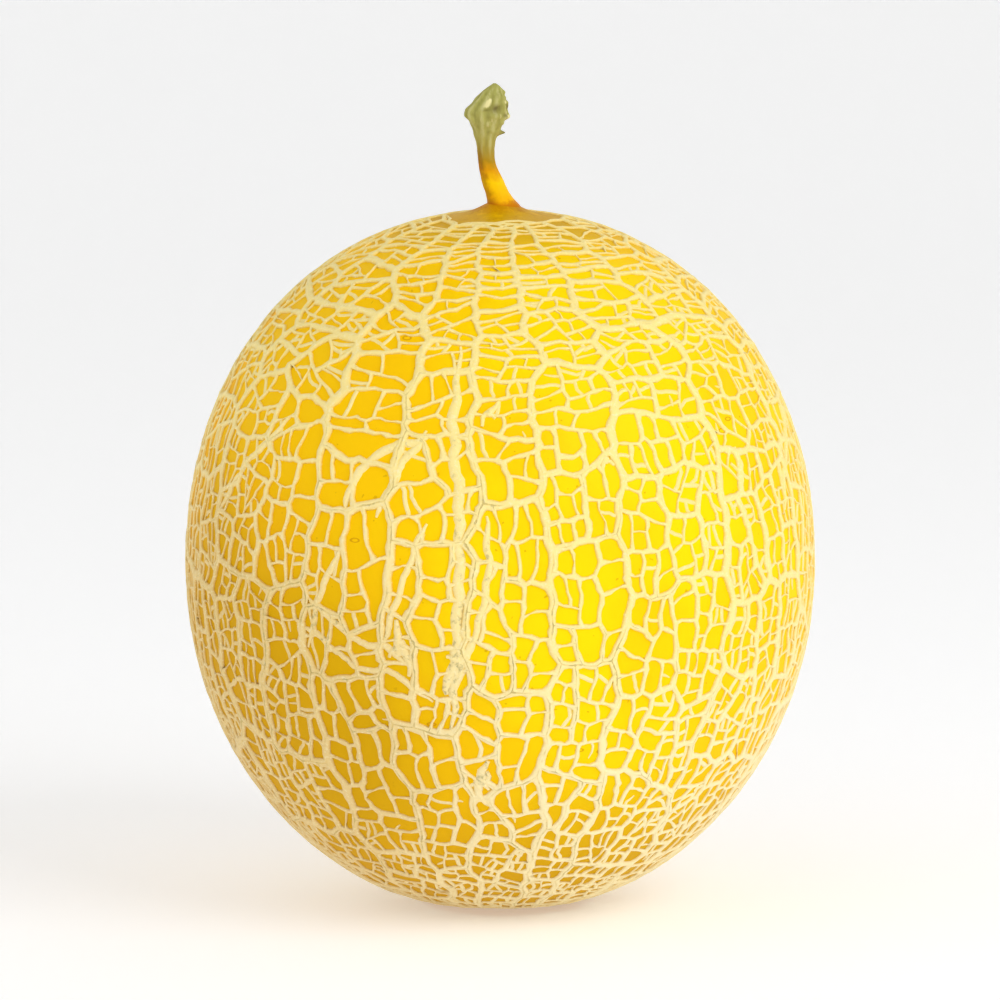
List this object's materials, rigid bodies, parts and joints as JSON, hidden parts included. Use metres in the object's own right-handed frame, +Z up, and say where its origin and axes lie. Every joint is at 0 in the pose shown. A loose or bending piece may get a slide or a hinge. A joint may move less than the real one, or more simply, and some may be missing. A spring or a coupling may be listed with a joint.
{
  "type": "netted melon",
  "caption": "Whole netted golden melon, oval, with a raised cream net over its smooth skin and a short bent cut stem, standing on its blossom end.",
  "frame": {"origin": "on the floor, below the middle of the fruit", "axes": "+Z up through the blossom end and the stem, -Y is the side that faces the viewer, +X to the viewer's right"},
  "size_m": [0.1497, 0.1498, 0.1959],
  "materials": {
    "golden_skin": "smooth waxy golden-yellow melon skin",
    "cork_net": "dry cream cork, slightly cracked",
    "green_stem": "fibrous stalk, golden at the foot and olive green at the cut head"
  },
  "bodies": {
    "root": {"fruit": "golden_skin", "net": "cork_net", "stem": "green_stem"}
  },
  "joints": []
}
